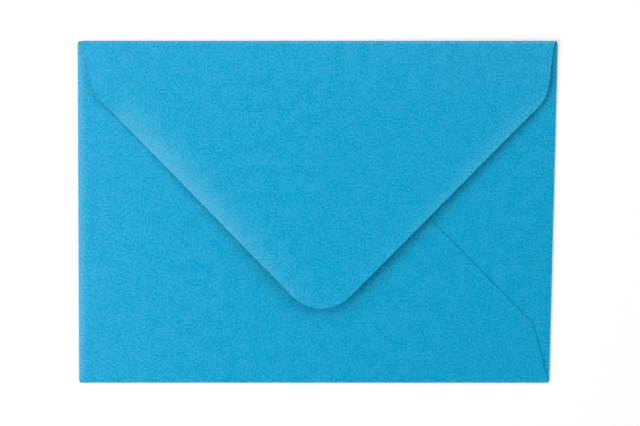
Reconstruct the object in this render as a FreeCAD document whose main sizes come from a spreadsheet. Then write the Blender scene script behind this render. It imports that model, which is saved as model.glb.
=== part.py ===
import FreeCAD, Part
import math
import os
import re
import Sketcher

# A paper envelope that lies on its front, with its flaps upward. One die-cut sheet is folded
# four times: the two side flaps first, then the bottom flap, which is glued to them along its
# slanting edges, and last the top flap, which is folded down but not stuck. Everything is one
# piece of paper, so it is one solid.
#
# X runs along the top fold, Y from the bottom fold to the top fold, and Z up from the surface
# that the envelope lies on. The origin is under the middle of the body. Lengths are in mm.

SIZES = (
    ("paper_thickness", 0.18, "thickness of the sheet"),
    ("body_width", 184.0, "from the left fold to the right fold"),
    ("body_height", 133.0, "from the bottom fold to the top fold"),
    ("out_of_square", 1.45, "how far the top fold stands to the right of the bottom fold"),
    ("pocket_gap", 0.30, "air between the front panel and the side flaps"),
    ("glue_thickness", 0.04, "dried glue between the side flaps and the bottom flap"),
    ("glue_setback", 3.0, "from the edge of the bottom flap to the glue, along X"),
    ("glue_width", 10.0, "width of a band of glue, along X"),
    ("glue_end", 9.0, "from the end of a band of glue to the middle of the body, along Y"),
    ("seam_overlap", 17.0, "how far a side flap runs under the bottom flap, along X"),
    ("side_root_inset", 0.8, "from the end of a side fold to the top or bottom fold"),
    ("side_shoulder_inset", 3.0, "from a side flap's shoulder to the top or bottom fold"),
    ("side_shoulder_depth", 6.0, "from a side fold to its flap's shoulder"),
    ("side_shoulder_radius", 5.0, "rounding of a side flap's shoulder"),
    ("side_tip_radius", 15.0, "rounding of a side flap's tip"),
    ("bottom_root_inset", 0.35, "from the end of the bottom fold to the side of the body"),
    ("bottom_left_inset", 3.45, "from the bottom flap's left shoulder to the side of the body"),
    ("bottom_left_depth", 20.8, "from the bottom fold to its flap's left shoulder"),
    ("bottom_left_radius", 12.0, "rounding of the bottom flap's left shoulder"),
    ("bottom_right_inset", 6.9, "from the bottom flap's right shoulder to the side of the body"),
    ("bottom_right_depth", 23.6, "from the bottom fold to its flap's right shoulder"),
    ("bottom_right_radius", 3.0, "rounding of the bottom flap's right shoulder"),
    ("bottom_reach", 109.0, "from the bottom fold to where the slanting edges would meet"),
    ("bottom_tip_shift", 0.7, "how far the bottom flap's tip lies to the right of the middle"),
    ("top_root_inset", 1.6, "from the end of the top fold to the side of the body"),
    ("top_left_inset", 6.45, "from the top flap's left shoulder to the side of the body"),
    ("top_left_depth", 20.5, "from the top fold to its flap's left shoulder"),
    ("top_right_inset", 4.20, "from the top flap's right shoulder to the side of the body"),
    ("top_right_depth", 21.7, "from the top fold to its flap's right shoulder"),
    ("top_reach", 109.6, "from the top fold to where the slanting edges would meet"),
    ("top_tip_shift", 1.2, "how far the top flap's tip lies to the right of the middle"),
    ("shoulder_radius", 13.0, "rounding of the top flap's shoulders"),
    ("tip_radius", 15.6, "rounding of the tips of the top and bottom flaps"),
    ("corner_setback", 0.05, "from the top fold to the end of the front panel's corners"),
    ("corner_gap", 0.4, "cut between a corner of the front panel and the top fold"),
    ("top_clearance", 0.7, "air under the top flap at its fold"),
    ("tip_clearance_left", 0.9, "air under the line of the tip, on the left"),
    ("tip_clearance_right", 4.0, "air under the line of the tip, on the right"),
    ("crown_radius", 4000.0, "bend of the top flap, from the fold to the tip"),
)

START, END, CENTRE = 1, 2, 3
ORIGIN = -1

# Lengths that several features share, written with the names of the sizes.
HALF_WIDTH = "(body_width / 2)"
HALF_HEIGHT = "(body_height / 2)"
SIDE_FLAP_LEVEL = "(paper_thickness + pocket_gap)"
GLUE_LEVEL = "(2 * paper_thickness + pocket_gap)"
BOTTOM_FLAP_LEVEL = f"({GLUE_LEVEL} + glue_thickness)"
POCKET_HEIGHT = f"({BOTTOM_FLAP_LEVEL} + paper_thickness)"
SIDE_FOLD_RADIUS = "(paper_thickness + pocket_gap / 2)"
BOTTOM_FOLD_RADIUS = f"({POCKET_HEIGHT} / 2)"
BOTTOM_PANEL_EDGE = f"({BOTTOM_FOLD_RADIUS} - {HALF_HEIGHT})"
TOP_FOLD_RADIUS = f"(({POCKET_HEIGHT} + top_clearance + paper_thickness) / 2)"
TOP_PANEL_EDGE = f"({HALF_HEIGHT} - {TOP_FOLD_RADIUS})"


def bind(text):
    """Put the sheet's name before each size in a formula."""
    names = {name for name, _, _ in SIZES}
    return re.sub(r"[a-z_]+", lambda word: "Sizes." + word[0] if word[0] in names else word[0], text)


def evaluate(obj, text):
    return float(obj.evalExpression(bind(text)))


def middle_at(height):
    """X of the body's middle line at a height: the body leans a little."""
    return f"(out_of_square * ({height}) / body_height)"


def make_sheet(doc):
    sheet = doc.addObject("Spreadsheet::Sheet", "Sizes")
    for row, (name, value, note) in enumerate(SIZES, start=1):
        sheet.set(f"A{row}", note)
        sheet.set(f"B{row}", str(value))
        sheet.setAlias(f"B{row}", name)
    doc.recompute()
    return sheet


def make_sketch(body, name, role, level=None):
    """A sketch on one of the body's own planes, moved off it by a level if there is one."""
    sketch = body.newObject("Sketcher::SketchObject", name)
    plane = next(item for item in body.Origin.OriginFeatures if item.Role == role)
    sketch.AttachmentSupport = (plane, [""])
    sketch.MapMode = "FlatFace"
    if level:
        sketch.setExpression("AttachmentOffset.Base.z", bind(level))
    return sketch


def constrain(sketch, kind, *elements):
    sketch.addConstraint(Sketcher.Constraint(kind, *elements))


def dimension(sketch, kind, text, *elements):
    """A dimension whose value follows a formula of the sizes."""
    value = evaluate(sketch, text)
    index = sketch.addConstraint(Sketcher.Constraint(kind, *elements, value))
    sketch.setExpression(f"Constraints[{index}]", bind(text))


def locate(sketch, element, end, x_text, y_text):
    dimension(sketch, "DistanceX", x_text, ORIGIN, START, element, end)
    dimension(sketch, "DistanceY", y_text, ORIGIN, START, element, end)


def make_arc(centre, radius, start, end):
    """An arc from one point to another, anticlockwise about its centre."""
    angles = [math.atan2(point.y - centre.y, point.x - centre.x) for point in (start, end)]
    circle = Part.Circle(centre, FreeCAD.Vector(0, 0, 1), radius)
    return Part.ArcOfCircle(circle, *angles)


def rounded_corner(before, corner, after, radius):
    """Where the rounding of a corner starts and ends, and its centre."""
    inward = (corner - before).normalize()
    outward = (after - corner).normalize()
    cut = radius * math.tan(inward.getAngle(outward) / 2)
    start = corner - inward * cut
    end = corner + outward * cut
    centre = start + FreeCAD.Vector(-inward.y, inward.x, 0) * radius
    return start, end, centre


def draw_outline(sketch, corners):
    """Draw a closed outline, anticlockwise, from corners given as X, Y and radius or None."""
    points = [FreeCAD.Vector(evaluate(sketch, x), evaluate(sketch, y), 0) for x, y, _ in corners]
    count = len(corners)
    entries = list(points)
    exits = list(points)
    arcs = {}
    for index, (_, _, radius) in enumerate(corners):
        if radius:
            size = evaluate(sketch, radius)
            around = (points[index - 1], points[index], points[(index + 1) % count])
            entries[index], exits[index], centre = rounded_corner(*around, size)
            arcs[index] = make_arc(centre, size, entries[index], exits[index])
    for index in range(count):
        sketch.addGeometry(Part.LineSegment(exits[index], entries[(index + 1) % count]), False)
    for index, (x_text, y_text, radius) in enumerate(corners):
        before = (index - 1) % count
        if not radius:
            constrain(sketch, "Coincident", before, END, index, START)
            locate(sketch, index, START, x_text, y_text)
            continue
        arc = sketch.addGeometry(arcs[index], False)
        corner = sketch.addGeometry(Part.Point(points[index]), True)
        locate(sketch, corner, START, x_text, y_text)
        constrain(sketch, "PointOnObject", corner, START, before)
        constrain(sketch, "PointOnObject", corner, START, index)
        constrain(sketch, "Tangent", before, END, arc, START)
        constrain(sketch, "Tangent", arc, END, index, START)
        dimension(sketch, "Radius", radius, arc)


def draw_half_ring(sketch, x_text, radius, side):
    """Draw the section of a fold, pressed into half a ring that bulges to one side."""
    inner_radius = f"({radius} - paper_thickness)"
    centre = FreeCAD.Vector(evaluate(sketch, x_text), evaluate(sketch, radius), 0)
    rings = []
    for text in (radius, inner_radius):
        size = evaluate(sketch, text)
        ends = [centre - FreeCAD.Vector(0, size * side, 0), centre + FreeCAD.Vector(0, size * side, 0)]
        ring = sketch.addGeometry(make_arc(centre, size, *ends), False)
        dimension(sketch, "Radius", text, ring)
        rings.append((ring, ends))
    (outer, outer_ends), (inner, inner_ends) = rings
    locate(sketch, outer, CENTRE, x_text, radius)
    constrain(sketch, "Coincident", inner, CENTRE, outer, CENTRE)
    for end, outside, inside in zip((START, END), outer_ends, inner_ends):
        line = sketch.addGeometry(Part.LineSegment(outside, inside), False)
        constrain(sketch, "Coincident", line, START, outer, end)
        constrain(sketch, "Coincident", line, END, inner, end)
        constrain(sketch, "Vertical", line)
        constrain(sketch, "Vertical", outer, CENTRE, outer, end)


def make_pad(body, name, sketch, length):
    pad = body.newObject("PartDesign::Pad", name)
    pad.Profile = sketch
    pad.setExpression("Length", bind(length))
    return pad


def pad_both_ways(body, name, sketch, length):
    """Pad a sketch by half of a length to each side of it."""
    pad = make_pad(body, name, sketch, length)
    pad.SideType = "Symmetric"
    return pad


def add_front_panel(body):
    """The body's front, with a narrow corner at each end of the top fold."""
    side = f"({HALF_WIDTH} - {SIDE_FOLD_RADIUS})"
    corner_top = f"({HALF_HEIGHT} - corner_setback)"
    notch = f"({HALF_WIDTH} - top_root_inset + corner_gap)"
    low = middle_at(BOTTOM_PANEL_EDGE)
    high = middle_at(corner_top)
    fold = middle_at(HALF_HEIGHT)
    corners = (
        (f"{low} - {side}", BOTTOM_PANEL_EDGE, None),
        (f"{low} + {side}", BOTTOM_PANEL_EDGE, None),
        (f"{high} + {side}", corner_top, None),
        (f"{fold} + {notch}", corner_top, None),
        (f"{fold} + {notch}", TOP_PANEL_EDGE, None),
        (f"{fold} - {notch}", TOP_PANEL_EDGE, None),
        (f"{fold} - {notch}", corner_top, None),
        (f"{high} - {side}", corner_top, None),
    )
    sketch = make_sketch(body, "FrontOutline", "XY_Plane")
    draw_outline(sketch, corners)
    make_pad(body, "FrontPanel", sketch, "paper_thickness")


def add_side_fold(body, name, side):
    """A side fold, which leans with the body."""
    sketch = make_sketch(body, f"{name}FoldSection", "XZ_Plane")
    draw_half_ring(sketch, f"{side} * ({HALF_WIDTH} - {SIDE_FOLD_RADIUS})", SIDE_FOLD_RADIUS, side)
    pad = pad_both_ways(body, f"{name}Fold", sketch, "body_height - 2 * side_root_inset")
    lean = "out_of_square / body_height"
    pad.UseCustomVector = True
    pad.AlongSketchNormal = True
    pad.Direction = FreeCAD.Vector(evaluate(pad, lean), 1, 0)
    pad.setExpression("Direction.x", bind(lean))


def bottom_edge_at(side, height):
    """X of the bottom flap's slanting edge at a height."""
    hand = "left" if side < 0 else "right"
    middle = middle_at("-" + HALF_HEIGHT)
    start_x = f"({middle} + {side} * ({HALF_WIDTH} - bottom_{hand}_inset))"
    tip_x = f"({middle} + bottom_tip_shift)"
    climb = f"(({height}) + {HALF_HEIGHT} - bottom_{hand}_depth)"
    rise = f"(bottom_reach - bottom_{hand}_depth)"
    return f"({start_x} + ({tip_x} - {start_x}) * {climb} / {rise})"


def add_side_flap(body, name, side):
    """A side flap: its slanting edges run under the bottom flap's, with the tip at mid height."""
    root = f"({HALF_HEIGHT} - side_root_inset)"
    shoulder = f"({HALF_HEIGHT} - side_shoulder_inset)"
    root_x = f"{side} * ({HALF_WIDTH} - {SIDE_FOLD_RADIUS})"
    shoulder_x = f"{side} * ({HALF_WIDTH} - side_shoulder_depth)"
    tip_x = f"{bottom_edge_at(side, '0')} - {side} * seam_overlap"
    corners = [
        (f"{root_x} + {middle_at(root)}", root, None),
        (f"{shoulder_x} + {middle_at(shoulder)}", shoulder, "side_shoulder_radius"),
        (tip_x, "0", "side_tip_radius"),
        (f"{shoulder_x} - {middle_at(shoulder)}", f"-{shoulder}", "side_shoulder_radius"),
        (f"{root_x} - {middle_at(root)}", f"-{root}", None),
    ]
    if side < 0:
        corners.reverse()
    sketch = make_sketch(body, f"{name}FlapOutline", "XY_Plane", SIDE_FLAP_LEVEL)
    draw_outline(sketch, corners)
    make_pad(body, f"{name}Flap", sketch, "paper_thickness")


def add_glue_band(body, name, side):
    """Dried glue that holds the bottom flap to a side flap."""
    low = f"(bottom_{name.lower()}_depth - {HALF_HEIGHT})"
    high = "(-glue_end)"
    near = f"{side} * glue_setback"
    far = f"{side} * (glue_setback + glue_width)"
    corners = [
        (f"{bottom_edge_at(side, low)} - {near}", low, None),
        (f"{bottom_edge_at(side, high)} - {near}", high, None),
        (f"{bottom_edge_at(side, high)} - {far}", high, None),
        (f"{bottom_edge_at(side, low)} - {far}", low, None),
    ]
    if side < 0:
        corners.reverse()
    sketch = make_sketch(body, f"{name}GlueOutline", "XY_Plane", GLUE_LEVEL)
    draw_outline(sketch, corners)
    make_pad(body, f"{name}Glue", sketch, "glue_thickness")


def add_bottom_fold(body):
    middle = middle_at("-" + HALF_HEIGHT)
    sketch = make_sketch(body, "BottomFoldSection", "YZ_Plane", middle)
    draw_half_ring(sketch, BOTTOM_PANEL_EDGE, BOTTOM_FOLD_RADIUS, -1)
    pad_both_ways(body, "BottomFold", sketch, "body_width - 2 * bottom_root_inset")


def add_bottom_flap(body):
    middle = middle_at("-" + HALF_HEIGHT)
    root = f"({HALF_WIDTH} - bottom_root_inset)"
    left = f"({HALF_WIDTH} - bottom_left_inset)"
    right = f"({HALF_WIDTH} - bottom_right_inset)"
    corners = (
        (f"{middle} - {root}", BOTTOM_PANEL_EDGE, None),
        (f"{middle} + {root}", BOTTOM_PANEL_EDGE, None),
        (f"{middle} + {right}", f"bottom_right_depth - {HALF_HEIGHT}", "bottom_right_radius"),
        (f"{middle} + bottom_tip_shift", f"bottom_reach - {HALF_HEIGHT}", "tip_radius"),
        (f"{middle} - {left}", f"bottom_left_depth - {HALF_HEIGHT}", "bottom_left_radius"),
    )
    sketch = make_sketch(body, "BottomFlapOutline", "XY_Plane", BOTTOM_FLAP_LEVEL)
    draw_outline(sketch, corners)
    make_pad(body, "BottomFlap", sketch, "paper_thickness")


def make_pocket(doc):
    """The front panel, the side flaps and the bottom flap glued over them."""
    body = doc.addObject("PartDesign::Body", "Pocket")
    add_front_panel(body)
    for name, side in (("Left", -1), ("Right", 1)):
        add_side_fold(body, name, side)
        add_side_flap(body, name, side)
        add_glue_band(body, name, side)
    add_bottom_fold(body)
    add_bottom_flap(body)
    return body


def draw_flap_section(sketch, tip_clearance):
    """Draw the top flap in section: one long bend from the fold to the line of the tip."""
    fold_y = TOP_PANEL_EDGE
    tip_y = f"({HALF_HEIGHT} - top_reach)"
    fold_z = f"({POCKET_HEIGHT} + top_clearance)"
    tip_z = f"({POCKET_HEIGHT} + {tip_clearance})"
    radius = evaluate(sketch, "crown_radius")
    faces = []
    for lift in ("paper_thickness", "0"):
        ends = ((fold_y, f"{fold_z} + {lift}"), (tip_y, f"{tip_z} + {lift}"))
        points = [FreeCAD.Vector(evaluate(sketch, y), evaluate(sketch, z), 0) for y, z in ends]
        arc = make_arc(crown_centre(*points, radius), radius, *points)
        face = sketch.addGeometry(arc, False)
        for end, (y_text, z_text) in zip((START, END), ends):
            locate(sketch, face, end, y_text, z_text)
        dimension(sketch, "Radius", "crown_radius", face)
        faces.append((face, points))
    (upper, upper_points), (lower, lower_points) = faces
    for end, above, below in zip((START, END), upper_points, lower_points):
        cut = sketch.addGeometry(Part.LineSegment(above, below), False)
        constrain(sketch, "Coincident", cut, START, upper, end)
        constrain(sketch, "Coincident", cut, END, lower, end)


def crown_centre(start, end, radius):
    """Centre, below the flap, of the arc between two points."""
    chord = end - start
    drop = math.sqrt(radius ** 2 - (chord.Length / 2) ** 2)
    down = FreeCAD.Vector(-chord.y, chord.x, 0).normalize()
    return (start + end) / 2 + down * drop


def make_flap_roll(doc):
    """The bent sheet that the top flap is cut from: it stands higher at its right end."""
    body = doc.addObject("PartDesign::Body", "FlapRoll")
    middle = middle_at(HALF_HEIGHT)
    ring = make_sketch(body, "TopFoldSection", "YZ_Plane", middle)
    draw_half_ring(ring, TOP_PANEL_EDGE, TOP_FOLD_RADIUS, 1)
    pad_both_ways(body, "TopFold", ring, "body_width")
    sections = []
    for name, side in (("Left", -1), ("Right", 1)):
        level = f"{middle} + {side} * {HALF_WIDTH}"
        sketch = make_sketch(body, f"{name}FlapSection", "YZ_Plane", level)
        draw_flap_section(sketch, f"tip_clearance_{name.lower()}")
        sections.append(sketch)
    loft = body.newObject("PartDesign::AdditiveLoft", "FlapSheet")
    loft.Profile = sections[0]
    loft.Sections = sections[1:]
    loft.Ruled = True
    return body


def make_flap_cutter(doc):
    """The die's outline of the top flap, as a block much taller than the flap stands."""
    body = doc.addObject("PartDesign::Body", "FlapCutter")
    middle = middle_at(HALF_HEIGHT)
    root = f"({HALF_WIDTH} - top_root_inset)"
    left = f"({HALF_WIDTH} - top_left_inset)"
    right = f"({HALF_WIDTH} - top_right_inset)"
    root_y = f"({HALF_HEIGHT} + paper_thickness)"
    corners = (
        (f"{middle} + {root}", root_y, None),
        (f"{middle} - {root}", root_y, None),
        (f"{middle} - {left}", f"{HALF_HEIGHT} - top_left_depth", "shoulder_radius"),
        (f"{middle} + top_tip_shift", f"{HALF_HEIGHT} - top_reach", "tip_radius"),
        (f"{middle} + {right}", f"{HALF_HEIGHT} - top_right_depth", "shoulder_radius"),
    )
    sketch = make_sketch(body, "TopFlapOutline", "XY_Plane")
    draw_outline(sketch, corners)
    pad_both_ways(body, "FlapBlock", sketch, "body_height")
    return body


def make_envelope(doc):
    flap = doc.addObject("Part::Common", "TopFlap")
    flap.Base = make_flap_roll(doc)
    flap.Tool = make_flap_cutter(doc)
    envelope = doc.addObject("Part::Fuse", "Envelope")
    envelope.Base = make_pocket(doc)
    envelope.Tool = flap
    envelope.Refine = True
    envelope.Label = "envelope"
    return envelope


def check_objects(doc):
    for item in doc.Objects:
        if "Invalid" in item.State or "Error" in item.State:
            raise RuntimeError(f"{item.Name} did not rebuild: {item.State}")


def check_piece(piece):
    shape = piece.Shape
    if shape.isNull() or not shape.isValid():
        raise RuntimeError(f"{piece.Label} has no valid shape")
    if len(shape.Solids) != 1:
        raise RuntimeError(f"{piece.Label} is {len(shape.Solids)} solids, not one sheet")


def main():
    doc = FreeCAD.newDocument("PaperEnvelope")
    make_sheet(doc)
    envelope = make_envelope(doc)
    doc.recompute()
    check_objects(doc)
    check_piece(envelope)
    os.makedirs("parts", exist_ok=True)
    envelope.Shape.exportStep(f"parts/{envelope.Label}.step")


main()
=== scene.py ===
"""Looks of a paper envelope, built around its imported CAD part.

The envelope is one die-cut sheet of pearlescent paper. The flat blank is drawn as a mesh, with
the relief that the folded paper springs up to, and Geometry Nodes fold its four flaps over. The
sheet then gets its thickness. Sizes are in millimetres until a mesh is written, in metres.
"""

from __future__ import annotations

import logging
import math
from dataclasses import dataclass, field
from enum import Enum

import bmesh
import bpy
import numpy as np
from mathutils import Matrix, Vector

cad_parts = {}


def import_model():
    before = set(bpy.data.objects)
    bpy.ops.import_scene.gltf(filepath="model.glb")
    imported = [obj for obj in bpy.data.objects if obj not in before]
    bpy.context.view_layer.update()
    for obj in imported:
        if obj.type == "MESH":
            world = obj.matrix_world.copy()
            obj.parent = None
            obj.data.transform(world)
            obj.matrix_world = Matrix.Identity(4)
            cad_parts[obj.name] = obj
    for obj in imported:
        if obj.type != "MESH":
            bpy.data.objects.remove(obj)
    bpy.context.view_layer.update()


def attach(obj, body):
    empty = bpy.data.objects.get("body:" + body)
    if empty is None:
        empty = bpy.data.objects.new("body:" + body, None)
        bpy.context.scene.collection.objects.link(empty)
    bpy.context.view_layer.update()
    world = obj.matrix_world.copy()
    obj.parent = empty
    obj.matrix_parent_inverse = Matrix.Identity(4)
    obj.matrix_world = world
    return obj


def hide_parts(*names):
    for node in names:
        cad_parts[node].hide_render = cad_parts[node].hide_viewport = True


LOG = logging.getLogger("envelope")
MM = 0.001
PICTURE_WIDTH_PX = 640
SENSOR_WIDTH_MM = 36.0
UV_NAME = "UVMap"
FLAP_ATTRIBUTE = "flap"
LIFT_ATTRIBUTE = "lift"
CORNER_COLUMNS = 3
Edge = tuple[tuple[float, float], tuple[float, float]]


class Flap(Enum):
    """A part of the blank, by the number that its points carry."""

    FRONT = 0
    LEFT = 1
    RIGHT = 2
    BOTTOM = 3
    TOP = 4


def linear(hex_colour: str) -> tuple[float, float, float, float]:
    """Turn an sRGB hex colour to linear.

    Args:
        hex_colour: Six hex digits, such as "1E90C8".

    Returns:
        Red, green and blue from 0 to 1, and an alpha of 1.
    """
    parts = [int(hex_colour[i : i + 2], 16) / 255 for i in (0, 2, 4)]
    red, green, blue = (c / 12.92 if c <= 0.04045 else ((c + 0.055) / 1.055) ** 2.4 for c in parts)
    return red, green, blue, 1.0


def add_node(
    tree: bpy.types.NodeTree,
    kind: str,
    settings: dict[str, object] | None = None,
    inputs: dict[str | int, object] | None = None,
) -> bpy.types.Node:
    """Add a node with its settings, values and links.

    Args:
        tree: The node tree.
        kind: The node's type.
        settings: Its properties.
        inputs: Values, or sockets to link, by the name or number of the input.

    Returns:
        The node.
    """
    node = tree.nodes.new(kind)
    for name, value in (settings or {}).items():
        setattr(node, name, value)
    for key, value in (inputs or {}).items():
        if isinstance(value, bpy.types.NodeSocket):
            tree.links.new(value, node.inputs[key])
        else:
            node.inputs[key].default_value = value
    return node


def add_math(tree: bpy.types.NodeTree, operation: str, *values: object) -> bpy.types.NodeSocket:
    """Add a Math node, with numbers or sockets as its values in order, and give its result."""
    return add_node(tree, "ShaderNodeMath", {"operation": operation}, dict(enumerate(values))).outputs[0]


def add_mix(
    tree: bpy.types.NodeTree, share: object, low: object, high: object, blend: str = "MIX"
) -> bpy.types.NodeSocket:
    """Add a node that mixes two colours.

    Args:
        tree: The node tree.
        share: Share of the second colour.
        low: The first colour.
        high: The second colour.
        blend: How the second colour is laid over the first.

    Returns:
        The mixed colour.
    """
    # On this node the colours are inputs 6 and 7 and output 2. The rest are for other data types.
    settings = {"data_type": "RGBA", "blend_type": blend}
    return add_node(tree, "ShaderNodeMix", settings, {0: share, 6: low, 7: high}).outputs[2]


def add_noise(
    tree: bpy.types.NodeTree,
    place: bpy.types.NodeSocket,
    size_mm: float,
    detail: float,
    falloff: float = 0.5,
) -> bpy.types.NodeSocket:
    """Add a node with an uneven pattern.

    Args:
        tree: The node tree.
        place: Places in metres.
        size_mm: The size of a patch.
        detail: How many finer patterns it holds.
        falloff: How strong each finer pattern is, as a share of the one before.

    Returns:
        The pattern, from 0 to 1.
    """
    values = {"Vector": place, "Scale": 1 / (size_mm * MM), "Detail": detail, "Roughness": falloff}
    return add_node(tree, "ShaderNodeTexNoise", inputs=values).outputs["Fac"]


def empty_tree(owner: bpy.types.Material | bpy.types.World) -> bpy.types.NodeTree:
    """Switch a material or a world to nodes.

    Args:
        owner: The material or the world.

    Returns:
        Its tree, with no node in it.
    """
    owner.use_nodes = True
    owner.node_tree.nodes.clear()
    return owner.node_tree


def ease(share: np.ndarray) -> np.ndarray:
    """Go smoothly from 0 to 1."""
    t = np.clip(share, 0.0, 1.0)
    return t * t * (3 - 2 * t)


def spring(share: np.ndarray) -> np.ndarray:
    """Rise from 0 at once and level off at 1, as paper does beside a fold."""
    return 1 - (1 - np.clip(share, 0.0, 1.0)) ** 2


@dataclass(frozen=True)
class SheetSizes:
    """The sheet's sizes in millimetres, as in the CAD source."""

    thickness: float = 0.18
    width: float = 184.0
    height: float = 133.0
    out_of_square: float = 1.45
    pocket_gap: float = 0.30
    glue_thickness: float = 0.04
    top_clearance: float = 0.70
    corner_gap: float = 0.40
    corner_setback: float = 0.05
    seam_overlap: float = 17.0
    side_root_inset: float = 0.8
    side_shoulder_inset: float = 3.0
    side_shoulder_depth: float = 6.0
    side_shoulder_radius: float = 5.0
    side_tip_radius: float = 15.0
    bottom_root_inset: float = 0.35
    bottom_left_inset: float = 3.45
    bottom_left_depth: float = 20.8
    bottom_left_radius: float = 12.0
    bottom_right_inset: float = 6.9
    bottom_right_depth: float = 23.6
    bottom_right_radius: float = 3.0
    bottom_reach: float = 109.0
    bottom_tip_shift: float = 0.7
    top_root_inset: float = 1.6
    top_left_inset: float = 6.45
    top_left_depth: float = 20.5
    top_right_inset: float = 4.20
    top_right_depth: float = 21.7
    top_reach: float = 109.6
    top_tip_shift: float = 1.2
    shoulder_radius: float = 13.0
    tip_radius: float = 15.6

    @property
    def pocket_height(self) -> float:
        """Height of the glued layers: the front, a side flap, glue and the bottom flap."""
        return 3 * self.thickness + self.pocket_gap + self.glue_thickness

    @property
    def fold_radius(self) -> dict[Flap, float]:
        """Radius of each fold.

        Returns:
            The radii to the middle of the paper, by flap.
        """
        side = (self.thickness + self.pocket_gap) / 2
        bottom = (self.pocket_height - self.thickness) / 2
        top = (self.pocket_height + self.top_clearance) / 2
        return {Flap.LEFT: side, Flap.RIGHT: side, Flap.BOTTOM: bottom, Flap.TOP: top}

    @property
    def fold_line(self) -> dict[Flap, float]:
        """Line at which each fold starts to turn.

        Returns:
            The lines' distances from the middle of the body, by flap.
        """
        half = {
            Flap.LEFT: self.width / 2,
            Flap.RIGHT: self.width / 2,
            Flap.BOTTOM: self.height / 2,
            Flap.TOP: self.height / 2,
        }
        skin = self.thickness / 2
        return {flap: size - self.fold_radius[flap] - skin for flap, size in half.items()}

    def lean(self, y: np.ndarray | float) -> np.ndarray | float:
        """How far the body leans to the right at a height on the body."""
        return self.out_of_square * y / self.height

    @property
    def side_fold_setback(self) -> float:
        """Distance from a side of the body to where its fold starts to turn."""
        return self.width / 2 - self.fold_line[Flap.RIGHT]

    def seam_at(self, side: float, y: float) -> float:
        """Find a slanting edge of the bottom flap.

        Args:
            side: -1 for the left edge and 1 for the right one.
            y: Height on the body.

        Returns:
            The edge's place to the right at that height.
        """
        if side < 0:
            inset, depth = self.bottom_left_inset, self.bottom_left_depth
        else:
            inset, depth = self.bottom_right_inset, self.bottom_right_depth
        base = self.lean(-self.height / 2)
        start = base + side * (self.width / 2 - inset)
        end = base + self.bottom_tip_shift
        climb = y + self.height / 2 - depth
        return start + (end - start) * climb / (self.bottom_reach - depth)


@dataclass(frozen=True)
class Corner:
    """A corner of a flap's outline: along its fold, away from it, and its rounding."""

    along: float
    depth: float
    radius: float = 0.0


def rounded(corners: list[Corner], step_deg: float = 6.0) -> np.ndarray:
    """Round the corners of an open outline.

    Args:
        corners: The corners in order, the first and the last with no rounding.
        step_deg: The angle between points on a rounding.

    Returns:
        The outline's points, as along and depth.
    """
    spots = [np.array([corner.along, corner.depth]) for corner in corners]
    points = [spots[0]]
    for before, corner, spot, after in zip(spots, corners[1:-1], spots[1:], spots[2:]):
        inward = (spot - before) / np.linalg.norm(spot - before)
        outward = (after - spot) / np.linalg.norm(after - spot)
        turn = math.atan2(inward[0] * outward[1] - inward[1] * outward[0], float(inward @ outward))
        cut = corner.radius * math.tan(abs(turn) / 2)
        side = math.copysign(1.0, turn)
        centre = spot - inward * cut + side * corner.radius * np.array([-inward[1], inward[0]])
        start = spot - inward * cut - centre
        steps = max(2, math.ceil(math.degrees(abs(turn)) / step_deg))
        for angle in np.linspace(0.0, turn, steps + 1):
            c, s = math.cos(angle), math.sin(angle)
            points.append(centre + np.array([c * start[0] - s * start[1], s * start[0] + c * start[1]]))
    points.append(spots[-1])
    return np.array(points)


@dataclass
class FlapPattern:
    """A flap of the blank, laid out as rows of points that follow its fold.

    The roots are the points' places along the fold. The fine rows are depths at which the flap
    gets a row beside the even ones, where the paper bends most.
    """

    flap: Flap
    corners: list[Corner]
    roots: np.ndarray
    sizes: SheetSizes
    row_step: float = 1.8
    fine_rows: tuple[float, ...] = ()
    roll_steps: int = 10
    least_row: float = 0.08

    def rows(self, outline: np.ndarray) -> np.ndarray:
        """Choose the rows beyond the roll.

        Args:
            outline: The flap's outline, as along and depth.

        Returns:
            The rows' depths on the folded flap.
        """
        deepest = outline[:, 1].max()
        even = np.linspace(0.0, deepest, math.ceil(deepest / self.row_step) + 1)
        wanted = np.unique(np.concatenate([even, outline[:, 1], self.fine_rows]))
        kept = [wanted[0]]
        for depth in wanted[1:]:
            if depth - kept[-1] >= self.least_row:
                kept.append(depth)
        kept[-1] = deepest
        return np.array(kept)

    def grid(self) -> tuple[np.ndarray, np.ndarray, np.ndarray]:
        """Lay the flap's points out.

        Returns:
            Arrays of rows by columns: the place along the fold, the depth on the flat blank, and
            the depth on the folded flap, which is 0 on the roll.
        """
        outline = rounded(self.corners)
        tip = int(outline[:, 1].argmax())
        low, high = outline[: tip + 1], outline[tip:][::-1]
        folded = self.rows(outline)
        roll_length = math.pi * self.sizes.fold_radius[self.flap]
        roll = np.linspace(0.0, roll_length, self.roll_steps + 1)[:-1]
        flat = np.concatenate([roll, folded + roll_length])
        folded = np.concatenate([np.zeros(self.roll_steps), folded])
        start = np.interp(folded, low[:, 1], low[:, 0])
        end = np.interp(folded, high[:, 1], high[:, 0])
        share = (self.roots - self.roots[0]) / (self.roots[-1] - self.roots[0])
        along = start[:, None] + (end - start)[:, None] * share[None, :]
        across = np.ones_like(along)
        return along, flat[:, None] * across, folded[:, None] * across


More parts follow.
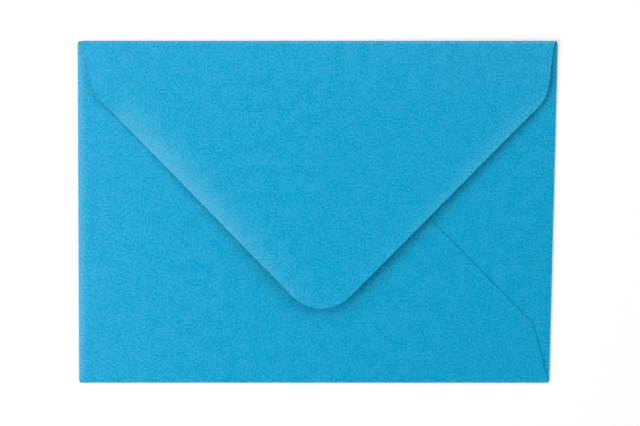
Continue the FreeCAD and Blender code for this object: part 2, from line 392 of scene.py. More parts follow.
@dataclass
class Relief:
    """How far the folded paper stands off its flat layers. Heights are to mid-paper.

    Places to the right are taken before the body leans. The curl bends the top flap down along
    its left slanting edge, and the lift bends it up along the right one. Their slopes are at the
    edge, at shares of the way from the shoulder to the tip. The two edges themselves are lines on
    the leaning body, each from its shoulder to where the two would meet.
    """

    sizes: SheetSizes
    pocket_rise: float = 0.24
    left_bend: float = 3.6
    right_bend: float = 3.0
    bottom_bend: float = 4.5
    fold_height_left: float = 1.45
    fold_height_right: float = 2.00
    crest_height_left: float = 3.40
    crest_height_right: float = 3.70
    crest_reach: float = 60.0
    tip_rise: float = 2.2
    tip_rise_from: float = 35.0
    tip_rise_over: float = 70.0
    curl_width: float = 15.5
    curl_places: tuple[float, ...] = (0.0, 0.10, 0.25, 0.55, 0.85, 1.0)
    curl_slopes: tuple[float, ...] = (0.02, 0.16, 0.225, 0.235, 0.19, 0.12)
    lift_width: float = 7.0
    lift_slopes: tuple[float, ...] = (0.08, 0.20, 0.25, 0.20, 0.13, 0.08)
    seam_width: float = 5.0
    seam_rise_left: float = 0.05
    seam_rise_right: float = 0.18
    left_edge: Edge = ((-85.5, 46.7), (1.9, -43.1))
    right_edge: Edge = ((89.2, 45.5), (1.9, -43.1))

    def pocket(self, x: np.ndarray, y: np.ndarray) -> np.ndarray:
        """Raise the side and bottom flaps, which slope down to the folds they hang on.

        Args:
            x: Places to the right.
            y: Places up the body.

        Returns:
            The rise at each place.
        """
        half_width, half_height = self.sizes.width / 2, self.sizes.height / 2
        left = spring((half_width + x) / self.left_bend)
        right = spring((half_width - x) / self.right_bend)
        bottom = spring((half_height + y) / self.bottom_bend)
        return self.pocket_rise * left * right * bottom

    def seam(self, rows: np.ndarray) -> np.ndarray:
        """Raise the bottom flap along its slanting edges, past the glue.

        Args:
            rows: Places to the right, in rows from edge to edge.

        Returns:
            The rise at each place.
        """
        left = ease(1 - (rows - rows[:, :1]) / self.seam_width)
        right = ease(1 - (rows[:, -1:] - rows) / self.seam_width)
        return self.seam_rise_left * left + self.seam_rise_right * right

    def inside(
        self, edge: Edge, x: np.ndarray, y: np.ndarray, side: float
    ) -> tuple[np.ndarray, np.ndarray]:
        """Place points by a slanting edge.

        Args:
            edge: The edge's ends, the shoulder first.
            x: Places to the right.
            y: Places up the body.
            side: 1 where the flap lies to the left of the edge, seen from the shoulder.

        Returns:
            The distance from the edge into the flap, and the share of the way to the tip.
        """
        start, end = np.array(edge[0]), np.array(edge[1])
        length = float(np.linalg.norm(end - start))
        along = (end - start) / length
        dx, dy = x - start[0], y - start[1]
        distance = side * (along[0] * dy - along[1] * dx)
        return distance, np.clip((dx * along[0] + dy * along[1]) / length, 0.0, 1.0)

    def top(self, x: np.ndarray, y: np.ndarray) -> np.ndarray:
        """Shape the top flap.

        Args:
            x: Places to the right.
            y: Places up the body.

        Returns:
            The flap's height above the floor over each place.
        """
        lean_x = x + self.sizes.lean(y)
        fold_distance = self.sizes.height / 2 - y
        across = np.clip(x / self.sizes.width + 0.5, 0.0, 1.0)
        fold = self.fold_height_left + (self.fold_height_right - self.fold_height_left) * across
        crest = self.crest_height_left + (self.crest_height_right - self.crest_height_left) * across
        height = fold + (crest - fold) * spring(fold_distance / self.crest_reach)
        height += self.tip_rise * ease((fold_distance - self.tip_rise_from) / self.tip_rise_over)
        distance, share = self.inside(self.left_edge, lean_x, y, 1.0)
        slope = np.interp(share, self.curl_places, self.curl_slopes)
        height -= slope / self.curl_width / 2 * np.clip(self.curl_width - distance, 0.0, None) ** 2
        distance, share = self.inside(self.right_edge, lean_x, y, -1.0)
        slope = np.interp(share, self.curl_places, self.lift_slopes)
        height += slope / self.lift_width / 2 * np.clip(self.lift_width - distance, 0.0, None) ** 2
        return height


@dataclass
class Blank:
    """The flat die-cut sheet, before it is folded."""

    sizes: SheetSizes
    relief: Relief
    cell: float = 1.8
    side_fine_rows: tuple[float, ...] = (0.35, 0.7, 1.1, 1.5, 2.0, 2.6)
    bottom_fine_rows: tuple[float, ...] = (0.4, 0.9, 1.6, 2.5, 3.4)
    top_fine_rows: tuple[float, ...] = (0.8,)
    vertices: list[tuple[float, float, float]] = field(default_factory=list)
    faces: list[tuple[int, ...]] = field(default_factory=list)
    flaps: list[int] = field(default_factory=list)
    lifts: list[float] = field(default_factory=list)

    @property
    def top_root(self) -> float:
        """Half of the top flap's length at its fold."""
        return self.sizes.width / 2 - self.sizes.top_root_inset

    @property
    def bottom_root(self) -> float:
        """Half of the bottom flap's length at its fold."""
        return self.sizes.width / 2 - self.sizes.bottom_root_inset

    @property
    def side_root(self) -> float:
        """Half of a side flap's length at its fold."""
        return self.sizes.height / 2 - self.sizes.side_root_inset

    def columns(self) -> np.ndarray:
        """Place the points along the top and bottom folds.

        Beyond each end of the top flap stand the columns of a corner: beside the notch, at the end
        of the bottom flap, and where the side fold starts to turn.

        Returns:
            Their places to the right.
        """
        middle = np.linspace(-self.top_root, self.top_root, math.ceil(2 * self.top_root / self.cell) + 1)
        notch = self.top_root + self.sizes.corner_gap
        ends = np.array([notch, self.bottom_root, self.sizes.width / 2 - self.sizes.side_fold_setback])
        return np.concatenate([-ends[::-1], middle, ends])

    def levels(self) -> np.ndarray:
        """Place the points along the side folds.

        Returns:
            Their places up the body, with the front panel's first and last row.
        """
        low = -self.sizes.fold_line[Flap.BOTTOM]
        high = self.sizes.fold_line[Flap.TOP]
        middle = np.linspace(-self.side_root, high, math.ceil((high + self.side_root) / self.cell) + 1)
        return np.concatenate([[low], middle])

    def corner_levels(self) -> np.ndarray:
        """Rows of the narrow corners that stand beside the top fold."""
        top = self.sizes.height / 2 - self.sizes.corner_setback
        return np.array([self.sizes.fold_line[Flap.TOP], self.side_root, top])

    def add_patch(self, x: np.ndarray, y: np.ndarray, flap: Flap, lift: np.ndarray) -> None:
        """Add a grid of points, with faces that all face up on the flat blank.

        Args:
            x: Places to the right, rows by columns.
            y: Places up the blank.
            flap: The part that the points belong to.
            lift: How far each point is raised after the folding.
        """
        first = len(self.vertices)
        rows, count = x.shape
        level = self.sizes.thickness / 2
        self.vertices += [(a * MM, b * MM, level * MM) for a, b in zip(x.ravel(), y.ravel())]
        self.flaps += [flap.value] * x.size
        self.lifts += list(lift.ravel() * MM)
        turn = (x[0, -1] - x[0, 0]) * (y[1, 0] - y[0, 0]) - (y[0, -1] - y[0, 0]) * (x[1, 0] - x[0, 0])
        for row in range(rows - 1):
            for column in range(count - 1):
                a = first + row * count + column
                face = (a, a + 1, a + count + 1, a + count)
                self.faces.append(face if turn > 0 else face[::-1])

    def add_front(self) -> None:
        """Add the front panel and its two corners by the top fold."""
        columns, levels = self.columns(), self.levels()
        x, y = np.meshgrid(columns, levels)
        self.add_patch(x, y, Flap.FRONT, np.zeros_like(x))
        for ends in (columns[:CORNER_COLUMNS], columns[-CORNER_COLUMNS:]):
            x, y = np.meshgrid(ends, self.corner_levels())
            self.add_patch(x, y, Flap.FRONT, np.zeros_like(x))

    def add_flap(self, pattern: FlapPattern) -> None:
        """Add a flap, with the relief that its points get once they are folded.

        Args:
            pattern: The flap's pattern.
        """
        along, flat, folded = pattern.grid()
        flap, line = pattern.flap, self.sizes.fold_line[pattern.flap]
        radius = self.sizes.fold_radius[flap]
        turned = np.clip(flat / radius, 0.0, math.pi)
        share = (1 - np.cos(turned)) / 2
        if flap in (Flap.LEFT, Flap.RIGHT):
            side = -1.0 if flap is Flap.LEFT else 1.0
            x, y = side * (line + flat), along
            lift = share * self.relief.pocket(side * (line - folded), along)
        elif flap is Flap.BOTTOM:
            x, y = along, -(line + flat)
            lift = share * (self.relief.pocket(along, folded - line) + self.relief.seam(along))
        else:
            x, y = along, line + flat
            level = self.sizes.thickness / 2 + 2 * radius
            lift = share * (self.relief.top(along, line - folded) - level)
        self.add_patch(x, y, flap, lift)

    def flap_corner(self, flap: Flap, x: float, depth: float, radius: float) -> Corner:
        """Place a corner of the top or bottom flap.

        Args:
            flap: The flap.
            x: Its place to the right on the folded body, which leans.
            depth: Its distance from the outermost line of the fold.
            radius: Its rounding.

        Returns:
            The corner on the flat sheet, which doesn't lean, measured from where the fold turns.
        """
        half_height = self.sizes.height / 2
        y = half_height - depth if flap is Flap.TOP else depth - half_height
        setback = half_height - self.sizes.fold_line[flap]
        return Corner(x - self.sizes.lean(y), depth - setback, radius)

    def side_pattern(self, flap: Flap) -> FlapPattern:
        """Draw a side flap, whose slanting edges run under the bottom flap's.

        Args:
            flap: The left or the right flap.

        Returns:
            The flap's pattern.
        """
        sizes = self.sizes
        side = -1.0 if flap is Flap.LEFT else 1.0
        shoulder = sizes.height / 2 - sizes.side_shoulder_inset
        depth = sizes.side_shoulder_depth - sizes.side_fold_setback
        tip = sizes.fold_line[flap] - side * sizes.seam_at(side, 0.0) + sizes.seam_overlap
        corners = [
            Corner(-self.side_root, 0.0),
            Corner(-shoulder, depth, sizes.side_shoulder_radius),
            Corner(0.0, tip, sizes.side_tip_radius),
            Corner(shoulder, depth, sizes.side_shoulder_radius),
            Corner(self.side_root, 0.0),
        ]
        roots = np.concatenate([self.levels()[1:], [self.side_root]])
        return FlapPattern(flap, corners, roots, sizes, fine_rows=self.side_fine_rows)

    def bottom_pattern(self) -> FlapPattern:
        """Draw the bottom flap.

        Returns:
            The flap's pattern.
        """
        sizes = self.sizes
        middle, half = sizes.lean(-sizes.height / 2), sizes.width / 2
        left = middle - half + sizes.bottom_left_inset
        right = middle + half - sizes.bottom_right_inset
        tip = middle + sizes.bottom_tip_shift
        corners = [
            Corner(-self.bottom_root, 0.0),
            self.flap_corner(Flap.BOTTOM, left, sizes.bottom_left_depth, sizes.bottom_left_radius),
            self.flap_corner(Flap.BOTTOM, tip, sizes.bottom_reach, sizes.tip_radius),
            self.flap_corner(Flap.BOTTOM, right, sizes.bottom_right_depth, sizes.bottom_right_radius),
            Corner(self.bottom_root, 0.0),
        ]
        roots = self.columns()[1:-1]
        return FlapPattern(Flap.BOTTOM, corners, roots, sizes, fine_rows=self.bottom_fine_rows)

    def top_pattern(self) -> FlapPattern:
        """Draw the top flap.

        Returns:
            The flap's pattern.
        """
        sizes = self.sizes
        middle, half = sizes.lean(sizes.height / 2), sizes.width / 2
        left = middle - half + sizes.top_left_inset
        right = middle + half - sizes.top_right_inset
        tip = middle + sizes.top_tip_shift
        corners = [
            Corner(-self.top_root, 0.0),
            self.flap_corner(Flap.TOP, left, sizes.top_left_depth, sizes.shoulder_radius),
            self.flap_corner(Flap.TOP, tip, sizes.top_reach, sizes.tip_radius),
            self.flap_corner(Flap.TOP, right, sizes.top_right_depth, sizes.shoulder_radius),
            Corner(self.top_root, 0.0),
        ]
        roots = self.columns()[CORNER_COLUMNS:-CORNER_COLUMNS]
        return FlapPattern(Flap.TOP, corners, roots, sizes, fine_rows=self.top_fine_rows)

    def build(self) -> bpy.types.Mesh:
        """Make the blank's mesh.

        Returns:
            The mesh, with its UV map and the attributes that the folding reads.
        """
        self.add_front()
        for flap in (Flap.LEFT, Flap.RIGHT):
            self.add_flap(self.side_pattern(flap))
        self.add_flap(self.bottom_pattern())
        self.add_flap(self.top_pattern())
        mesh = bpy.data.meshes.new("blank")
        mesh.from_pydata(self.vertices, [], self.faces)
        mesh.attributes.new(FLAP_ATTRIBUTE, "INT", "POINT").data.foreach_set("value", self.flaps)
        mesh.attributes.new(LIFT_ATTRIBUTE, "FLOAT", "POINT").data.foreach_set("value", self.lifts)
        uv_map = mesh.uv_layers.new(name=UV_NAME)
        corners = [self.vertices[loop.vertex_index][:2] for loop in mesh.loops]
        uv_map.data.foreach_set("uv", np.array(corners, np.float32).ravel())
        join_patches(mesh)
        return mesh


def join_patches(mesh: bpy.types.Mesh, reach: float = 1e-6) -> None:
    """Merge the points that patches share, so that the sheet is one surface.

    Args:
        mesh: The mesh, changed in place.
        reach: Points nearer than this, in metres, become one.
    """
    work = bmesh.new()
    work.from_mesh(mesh)
    bmesh.ops.remove_doubles(work, verts=work.verts, dist=reach)
    work.to_mesh(mesh)
    work.free()


@dataclass
class FoldingTree:
    """Geometry Nodes that fold a flat blank over along straight lines."""

    name: str = "fold_the_blank"

    def fold_group(self) -> bpy.types.NodeTree:
        """Build the group that rolls one flap over a line, by the paper's bend radius.

        Returns:
            The group, whose inputs give the flap, its fold's line and direction, and the bend.
        """
        tree = bpy.data.node_groups.new("fold_over", "GeometryNodeTree")
        sockets = {
            "Geometry": "NodeSocketGeometry",
            "Flap": "NodeSocketInt",
            "Line": "NodeSocketFloat",
            "Outward": "NodeSocketVector",
            "Radius": "NodeSocketFloat",
            "Angle": "NodeSocketFloat",
        }
        for name, kind in sockets.items():
            tree.interface.new_socket(name, in_out="INPUT", socket_type=kind)
        tree.interface.new_socket("Geometry", in_out="OUTPUT", socket_type="NodeSocketGeometry")
        given = add_node(tree, "NodeGroupInput").outputs

        def maths(operation: str, *values: object) -> bpy.types.NodeSocket:
            """Add a Math node to this group."""
            return add_math(tree, operation, *values)

        place = add_node(tree, "GeometryNodeInputPosition").outputs[0]
        reach = add_node(
            tree,
            "ShaderNodeVectorMath",
            {"operation": "DOT_PRODUCT"},
            {0: place, 1: given["Outward"]},
        ).outputs["Value"]
        beyond = maths("MAXIMUM", maths("SUBTRACT", reach, given["Line"]), 0.0)
        turned = maths("MINIMUM", maths("DIVIDE", beyond, given["Radius"]), given["Angle"])
        straight = maths("SUBTRACT", beyond, maths("MULTIPLY", given["Radius"], turned))
        sine, cosine = maths("SINE", turned), maths("COSINE", turned)
        outward = maths("MULTIPLY_ADD", straight, cosine, maths("MULTIPLY", given["Radius"], sine))
        fall = maths("MULTIPLY", given["Radius"], maths("SUBTRACT", 1.0, cosine))
        rise = maths("MULTIPLY_ADD", straight, sine, fall)
        shift = add_node(
            tree,
            "ShaderNodeVectorMath",
            {"operation": "SCALE"},
            {0: given["Outward"], "Scale": maths("SUBTRACT", outward, beyond)},
        ).outputs[0]
        up = add_node(tree, "ShaderNodeCombineXYZ", inputs={"Z": rise}).outputs[0]
        offset = add_node(
            tree, "ShaderNodeVectorMath", {"operation": "ADD"}, {0: shift, 1: up}
        ).outputs[0]
        number = add_node(
            tree, "GeometryNodeInputNamedAttribute", {"data_type": "INT"}, {"Name": FLAP_ATTRIBUTE}
        ).outputs[0]
        chosen = add_node(
            tree,
            "FunctionNodeCompare",
            {"data_type": "INT", "operation": "EQUAL"},
            {2: number, 3: given["Flap"]},
        ).outputs[0]
        moved = add_node(
            tree,
            "GeometryNodeSetPosition",
            inputs={"Geometry": given["Geometry"], "Selection": chosen, "Offset": offset},
        ).outputs[0]
        add_node(tree, "NodeGroupOutput", inputs={"Geometry": moved})
        return tree

    def build(self) -> bpy.types.NodeTree:
        """Build the whole tree: four folds, the paper's relief, and the body's lean.

        Returns:
            The tree, for the blank's modifier.
        """
        fold = self.fold_group()
        tree = bpy.data.node_groups.new(self.name, "GeometryNodeTree")
        tree.interface.new_socket("Geometry", in_out="INPUT", socket_type="NodeSocketGeometry")
        for name in ("Side", "Bottom", "Top"):
            tree.interface.new_socket(f"{name} Line", in_out="INPUT", socket_type="NodeSocketFloat")
            tree.interface.new_socket(f"{name} Radius", in_out="INPUT", socket_type="NodeSocketFloat")
        tree.interface.new_socket("Lean", in_out="INPUT", socket_type="NodeSocketFloat")
        tree.interface.new_socket("Paper", in_out="INPUT", socket_type="NodeSocketMaterial")
        tree.interface.new_socket("Geometry", in_out="OUTPUT", socket_type="NodeSocketGeometry")
        given = add_node(tree, "NodeGroupInput").outputs
        sheet = given["Geometry"]
        folds = (
            (Flap.LEFT, "Side", (-1.0, 0.0, 0.0)),
            (Flap.RIGHT, "Side", (1.0, 0.0, 0.0)),
            (Flap.BOTTOM, "Bottom", (0.0, -1.0, 0.0)),
            (Flap.TOP, "Top", (0.0, 1.0, 0.0)),
        )
        for flap, kind, outward in folds:
            values = {
                "Geometry": sheet,
                "Flap": flap.value,
                "Line": given[f"{kind} Line"],
                "Outward": outward,
                "Radius": given[f"{kind} Radius"],
                "Angle": math.pi,
            }
            sheet = add_node(tree, "GeometryNodeGroup", {"node_tree": fold}, values).outputs[0]
        lift = add_node(
            tree, "GeometryNodeInputNamedAttribute", {"data_type": "FLOAT"}, {"Name": LIFT_ATTRIBUTE}
        ).outputs[0]
        up = add_node(tree, "ShaderNodeCombineXYZ", inputs={"Z": lift}).outputs[0]
        sheet = add_node(
            tree, "GeometryNodeSetPosition", inputs={"Geometry": sheet, "Offset": up}
        ).outputs[0]
        place = add_node(tree, "GeometryNodeInputPosition").outputs[0]
        height = add_node(tree, "ShaderNodeSeparateXYZ", inputs={0: place}).outputs["Y"]
        lean = add_math(tree, "MULTIPLY", height, given["Lean"])
        aside = add_node(tree, "ShaderNodeCombineXYZ", inputs={"X": lean}).outputs[0]
        sheet = add_node(
            tree, "GeometryNodeSetPosition", inputs={"Geometry": sheet, "Offset": aside}
        ).outputs[0]
        sheet = add_node(tree, "GeometryNodeRealizeInstances", inputs={"Geometry": sheet}).outputs[0]
        sheet = add_node(
            tree, "GeometryNodeSetMaterial", inputs={"Geometry": sheet, "Material": given["Paper"]}
        ).outputs[0]
        add_node(tree, "NodeGroupOutput", inputs={"Geometry": sheet})
        return tree


def bake(obj: bpy.types.Object) -> bpy.types.Mesh:
    """Turn an object's evaluated shape into a plain mesh and clear its modifiers.

    Args:
        obj: The object, changed in place.

    Returns:
        Its new mesh.
    """
    bpy.context.view_layer.update()
    depsgraph = bpy.context.evaluated_depsgraph_get()
    mesh = bpy.data.meshes.new_from_object(obj.evaluated_get(depsgraph), depsgraph=depsgraph)
    obj.modifiers.clear()
    obj.data = mesh
    return mesh


def shade_by_angle(mesh: bpy.types.Mesh, sharp_deg: float = 40.0) -> None:
    """Shade a mesh smoothly, with hard edges where its faces turn sharply.

    Args:
        mesh: The mesh, changed in place.
        sharp_deg: The least angle between two faces that makes their edge hard.
    """
    work = bmesh.new()
    work.from_mesh(mesh)
    for face in work.faces:
        face.smooth = True
    for edge in work.edges:
        edge.smooth = len(edge.link_faces) == 2 and edge.calc_face_angle(0.0) < math.radians(sharp_deg)
    work.to_mesh(mesh)
    work.free()


@dataclass(frozen=True)
class PearlescentPaper:
    """Dyed card with a brushed-on mica coating.

    The mica gives the blue a soft, slightly greenish lustre that wakes where the sheet turns to
    the light, and a fine mottle of brighter and darker flecks.
    """

    name: str = "pearlescent_paper"
    shade_hex: str = "0493C6"
    light_hex: str = "10BAE1"
    blush_hex: str = "121E26"
    lustre_hex: str = "F0FFFF"
    fleck_mm: float = 0.75
    fleck_detail: float = 2.0
    fleck_range: tuple[float, float] = (0.40, 0.68)
    cloud_mm: float = 5.0
    cloud_detail: float = 3.0
    cloud_range: tuple[float, float] = (0.36, 0.62)
    mottle_falloff: float = 0.6
    grain_mm: float = 0.45
    grain_detail: float = 3.0
    grain_height_mm: float = 0.010
    ior: float = 1.54
    least_roughness: float = 0.20
    fleck_roughness: float = 0.135
    cloud_roughness: float = 0.06

    def mottle(
        self,
        tree: bpy.types.NodeTree,
        sheet: bpy.types.NodeSocket,
        size_mm: float,
        detail: float,
        limits: tuple[float, float],
    ) -> bpy.types.NodeSocket:
        """Add one pattern of the mottle.

        Args:
            tree: The material's nodes.
            sheet: Places on the flat sheet, in metres.
            size_mm: The size of a patch.
            detail: How many finer patterns it holds.
            limits: The noise that gives 0 and the noise that gives 1.

        Returns:
            The pattern, from 0 to 1.
        """
        noise = add_noise(tree, sheet, size_mm, detail, self.mottle_falloff)
        return add_node(
            tree,
            "ShaderNodeMapRange",
            inputs={"Value": noise, "From Min": limits[0], "From Max": limits[1]},
        ).outputs[0]

    def colour(
        self, tree: bpy.types.NodeTree, flecks: bpy.types.NodeSocket, clouds: bpy.types.NodeSocket
    ) -> bpy.types.NodeSocket:
        """Mix the dye's colour, with lighter flecks and a pale blush in the clouds."""
        speckled = add_mix(tree, flecks, linear(self.shade_hex), linear(self.light_hex))
        return add_mix(tree, clouds, speckled, linear(self.blush_hex), "ADD")

    def roughness(
        self, tree: bpy.types.NodeTree, flecks: bpy.types.NodeSocket, clouds: bpy.types.NodeSocket
    ) -> bpy.types.NodeSocket:
        """Add up the roughness, which is higher in the lighter flecks and clouds."""
        spread = add_math(tree, "MULTIPLY_ADD", flecks, self.fleck_roughness, self.least_roughness)
        return add_math(tree, "MULTIPLY_ADD", clouds, self.cloud_roughness, spread)

    def grain(self, tree: bpy.types.NodeTree, sheet: bpy.types.NodeSocket) -> bpy.types.NodeSocket:
        """Add the paper's fine tooth.

        Args:
            tree: The material's nodes.
            sheet: Places on the flat sheet, in metres.

        Returns:
            The bumped normal.
        """
        tooth = add_noise(tree, sheet, self.grain_mm, self.grain_detail)
        return add_node(
            tree,
            "ShaderNodeBump",
            inputs={"Height": tooth, "Distance": self.grain_height_mm * MM, "Strength": 1.0},
        ).outputs[0]

    def build(self) -> bpy.types.Material:
        """Build the material, on the UV map, which holds the flat sheet's own metres.

        Returns:
            The material.
        """
        material = bpy.data.materials.new(self.name)
        tree = empty_tree(material)
        sheet = add_node(tree, "ShaderNodeUVMap", {"uv_map": UV_NAME}).outputs[0]
        # Flecks of mica are some 0.02 mm, too fine to show: these are clusters of them.
        flecks = self.mottle(tree, sheet, self.fleck_mm, self.fleck_detail, self.fleck_range)
        clouds = self.mottle(tree, sheet, self.cloud_mm, self.cloud_detail, self.cloud_range)
        surface = add_node(
            tree,
            "ShaderNodeBsdfPrincipled",
            inputs={
                "Base Color": self.colour(tree, flecks, clouds),
                "Roughness": self.roughness(tree, flecks, clouds),
                "IOR": self.ior,
                "Specular Tint": linear(self.lustre_hex),
                "Normal": self.grain(tree, sheet),
            },
        ).outputs[0]
        add_node(tree, "ShaderNodeOutputMaterial", inputs={"Surface": surface})
        return material


@dataclass(frozen=True)
class CutPaperEdge:
    """The raw edge that the die leaves: dyed fibres with no coating, matt and a little paler."""

    name: str = "cut_paper_edge"
    dark_hex: str = "1C97C2"
    pale_hex: str = "4DB4D8"
    fibre_mm: float = 0.3
    fibre_detail: float = 2.0
    roughness: float = 0.85

    def build(self) -> bpy.types.Material:
        """Build the material, with fibres that show as a fine unevenness along the cut.

        Returns:
            The material.
        """
        material = bpy.data.materials.new(self.name)
        tree = empty_tree(material)
        place = add_node(tree, "ShaderNodeTexCoord").outputs["Object"]
        fibres = add_noise(tree, place, self.fibre_mm, self.fibre_detail)
        colour = add_mix(tree, fibres, linear(self.dark_hex), linear(self.pale_hex))
        surface = add_node(
            tree,
            "ShaderNodeBsdfPrincipled",
            inputs={"Base Color": colour, "Roughness": self.roughness},
        ).outputs[0]
        add_node(tree, "ShaderNodeOutputMaterial", inputs={"Surface": surface})
        return material


@dataclass
class FoldedEnvelope:
    """The envelope itself: one sheet, cut and folded."""

    sizes: SheetSizes
    relief: Relief
    paper: PearlescentPaper = field(default_factory=PearlescentPaper)
    cut_edge: CutPaperEdge = field(default_factory=CutPaperEdge)

    def fold(self, obj: bpy.types.Object, paper: bpy.types.Material) -> None:
        """Fold the blank with Geometry Nodes and keep the result as a plain mesh.

        Args:
            obj: The blank's object, changed in place.
            paper: The sheet's material.
        """
        tree = FoldingTree().build()
        modifier = obj.modifiers.new("folds", "NODES")
        modifier.node_group = tree
        radius, line = self.sizes.fold_radius, self.sizes.fold_line
        values = {
            "Side Line": line[Flap.LEFT] * MM,
            "Side Radius": radius[Flap.LEFT] * MM,
            "Bottom Line": line[Flap.BOTTOM] * MM,
            "Bottom Radius": radius[Flap.BOTTOM] * MM,
            "Top Line": line[Flap.TOP] * MM,
            "Top Radius": radius[Flap.TOP] * MM,
            "Lean": self.sizes.out_of_square / self.sizes.height,
            "Paper": paper,
        }
        for socket in tree.interface.items_tree:
            if socket.in_out == "INPUT" and socket.name in values:
                modifier[socket.identifier] = values[socket.name]
        bake(obj)

    def thicken(
        self, obj: bpy.types.Object, paper: bpy.types.Material, edge: bpy.types.Material
    ) -> None:
        """Give the sheet its thickness.

        Args:
            obj: The folded sheet, changed in place.
            paper: The material of its two sides.
            edge: The material of its cut edges.
        """
        obj.data.materials.clear()
        obj.data.materials.append(paper)
        obj.data.materials.append(edge)
        shell = obj.modifiers.new("thickness", "SOLIDIFY")
        shell.thickness = self.sizes.thickness * MM
        shell.offset = 0.0
        shell.use_even_offset = True
        shell.use_quality_normals = True
        shell.material_offset_rim = 1
        bake(obj)

    def build(self) -> bpy.types.Object:
        """Make the folded sheet.

        Returns:
            The sheet's object.
        """
        paper, edge = self.paper.build(), self.cut_edge.build()
        obj = bpy.data.objects.new("folded_sheet", Blank(self.sizes, self.relief).build())
        bpy.context.scene.collection.objects.link(obj)
        self.fold(obj, paper)
        self.thicken(obj, paper, edge)
        for name in (FLAP_ATTRIBUTE, LIFT_ATTRIBUTE):
            attribute = obj.data.attributes.get(name)
            if attribute is not None:
                obj.data.attributes.remove(attribute)
        obj.data.name = obj.name
        shade_by_angle(obj.data)
        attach(obj, "root")
        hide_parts("envelope")
        return obj


@dataclass(frozen=True)
class PhotoCamera:
    """The camera that took the photograph: nearly straight above, a little over the top fold.

    The near and far limits of what it sees are in metres.
    """

    focal_px: float = 1600.0
    tilt_deg: float = 5.76
    right_mm: float = 1.60
    up_mm: float = 0.16
    distance_mm: float = 619.9
    near: float = 0.05
    far: float = 10.0

    def build(self) -> bpy.types.Object:
        """Make the camera and give it to the scene.

        Returns:
            The camera.
        """
        data = bpy.data.cameras.new("photo_camera")
        data.sensor_width = SENSOR_WIDTH_MM
        data.lens = self.focal_px / PICTURE_WIDTH_PX * SENSOR_WIDTH_MM
        data.clip_start, data.clip_end = self.near, self.far
        tilt = math.radians(self.tilt_deg)
        back = Vector((0.0, math.sin(tilt), math.cos(tilt)))
        up = Vector((0.0, math.cos(tilt), -math.sin(tilt)))
        camera = bpy.data.objects.new("photo_camera", data)
        camera.location = (back * self.distance_mm + up * self.up_mm + Vector((self.right_mm, 0, 0))) * MM
        camera.rotation_euler = (-tilt, 0.0, 0.0)
        bpy.context.scene.collection.objects.link(camera)
        bpy.context.scene.camera = camera
        return camera


@dataclass(frozen=True)
class SoftLamp:
    """A flat lamp that faces the envelope.

    The bearing is counted from the right towards the top fold, and the elevation from the
    horizon. The width runs from the lamp's lower to its upper edge and the length level with the
    floor, in metres. The level is the brightness that the lamp gives to white lying flat, where 1
    is full white.
    """

    name: str
    bearing_deg: float
    elevation_deg: float
    distance: float
    width: float
    length: float
    level: float

    def build(self) -> bpy.types.Object:
        """Make the lamp.

        Returns:
            The lamp.
        """
        bearing, elevation = math.radians(self.bearing_deg), math.radians(self.elevation_deg)
        away = Vector(
            (
                math.cos(bearing) * math.cos(elevation),
                math.sin(bearing) * math.cos(elevation),
                math.sin(elevation),
            )
        )
        data = bpy.data.lights.new(self.name, "AREA")
        data.shape = "RECTANGLE"
        data.size, data.size_y = self.length, self.width
        # White lying flat gets a radiance of power * sin(elevation) / (pi * distance) ** 2.
        data.energy = self.level * math.pi**2 * self.distance**2 / math.sin(elevation)
        lamp = bpy.data.objects.new(self.name, data)
        lamp.location = away * self.distance
        lamp.rotation_mode = "QUATERNION"
        lamp.rotation_quaternion = away.to_track_quat("Z", "Y")
        bpy.context.scene.collection.objects.link(lamp)
        return lamp


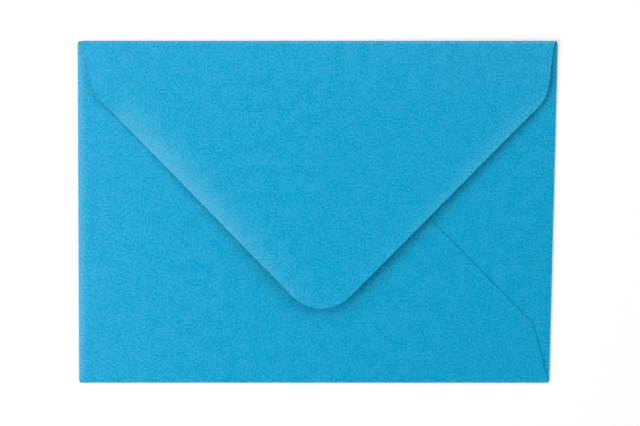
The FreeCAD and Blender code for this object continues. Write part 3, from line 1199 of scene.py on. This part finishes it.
@dataclass(frozen=True)
class Studio:
    """A plain white table under soft light that comes mostly from the left.

    Past the table the camera sees white, which fades below the top of a wall into the darker sky.
    The wall's top and fade are sines of angles above the horizon.
    """

    floor_size: float = 4.0
    floor_drop_mm: float = 0.02
    floor_hex: str = "F2F2F2"
    floor_glow: float = 0.20
    sky_level: float = 0.03
    wall_top: float = 0.42
    wall_fade: float = 0.12
    # Bearing, elevation, distance, width, length and level of each lamp.
    lamps: tuple[SoftLamp, ...] = (
        SoftLamp("softbox_left", 178.0, 48.0, 0.65, 0.48, 1.1, 0.66),
        SoftLamp("softbox_front", 218.0, 33.0, 1.10, 0.50, 0.7, 0.18),
        SoftLamp("softbox_right", 8.0, 26.0, 1.10, 0.50, 1.0, 0.18),
        SoftLamp("softbox_back", 76.0, 46.0, 0.90, 0.90, 0.8, 0.30),
    )

    def seen(self, tree: bpy.types.NodeTree) -> bpy.types.NodeSocket:
        """Tell the rays that look at the background, straight or in gloss or glass.

        Args:
            tree: The nodes of a material or of the world.

        Returns:
            1 for those rays and 0 for others.
        """
        path = add_node(tree, "ShaderNodeLightPath").outputs
        gloss = add_math(tree, "MAXIMUM", path["Is Glossy Ray"], path["Is Transmission Ray"])
        return add_math(tree, "MAXIMUM", path["Is Camera Ray"], gloss)

    def build_floor(self) -> bpy.types.Object:
        """Make the table top, which looks white where it is lit and keeps the shadows.

        Returns:
            The table top.
        """
        half, level = self.floor_size / 2, -self.floor_drop_mm * MM
        mesh = bpy.data.meshes.new("table_top")
        mesh.from_pydata(
            [(-half, -half, level), (half, -half, level), (half, half, level), (-half, half, level)],
            [],
            [(0, 1, 2, 3)],
        )
        material = bpy.data.materials.new("white_table")
        tree = empty_tree(material)
        matt = add_node(
            tree, "ShaderNodeBsdfDiffuse", inputs={"Color": linear(self.floor_hex), "Roughness": 1.0}
        ).outputs[0]
        strength = add_math(tree, "MULTIPLY", self.seen(tree), self.floor_glow)
        glow = add_node(tree, "ShaderNodeEmission", inputs={"Strength": strength}).outputs[0]
        surface = add_node(tree, "ShaderNodeAddShader", inputs={0: matt, 1: glow}).outputs[0]
        add_node(tree, "ShaderNodeOutputMaterial", inputs={"Surface": surface})
        mesh.materials.append(material)
        floor = bpy.data.objects.new("table_top", mesh)
        bpy.context.scene.collection.objects.link(floor)
        return floor

    def build_sky(self) -> None:
        """Light the scene evenly from all round, and show white where the camera sees past the table."""
        world = bpy.data.worlds.new("soft_sky")
        tree = empty_tree(world)
        direction = add_node(tree, "ShaderNodeTexCoord").outputs["Generated"]
        height = add_node(tree, "ShaderNodeSeparateXYZ", inputs={0: direction}).outputs["Z"]
        white_from = self.wall_top - self.wall_fade
        wall = add_node(
            tree,
            "ShaderNodeMapRange",
            inputs={"Value": height, "From Min": self.wall_top, "From Max": white_from},
        ).outputs[0]
        white = add_math(tree, "MULTIPLY", self.seen(tree), wall)
        strength = add_node(
            tree,
            "ShaderNodeMapRange",
            inputs={"Value": white, "To Min": self.sky_level, "To Max": 1.0},
        ).outputs[0]
        background = add_node(
            tree,
            "ShaderNodeBackground",
            inputs={"Color": (1.0, 1.0, 1.0, 1.0), "Strength": strength},
        ).outputs[0]
        add_node(tree, "ShaderNodeOutputWorld", inputs={"Surface": background})
        bpy.context.scene.world = world

    def build(self) -> None:
        """Set up the table, the sky and the lamps."""
        bpy.context.scene.view_settings.view_transform = "Standard"
        self.build_floor()
        self.build_sky()
        for lamp in self.lamps:
            lamp.build()


def main() -> None:
    """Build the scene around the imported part."""
    logging.basicConfig(level=logging.INFO, format="%(name)s: %(message)s")
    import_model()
    PhotoCamera().build()
    Studio().build()
    sizes = SheetSizes()
    sheet = FoldedEnvelope(sizes, Relief(sizes)).build()
    triangles = sum(len(face.vertices) - 2 for face in sheet.data.polygons)
    LOG.info("%s: %d triangles", sheet.name, triangles)


if __name__ == "__main__":
    main()
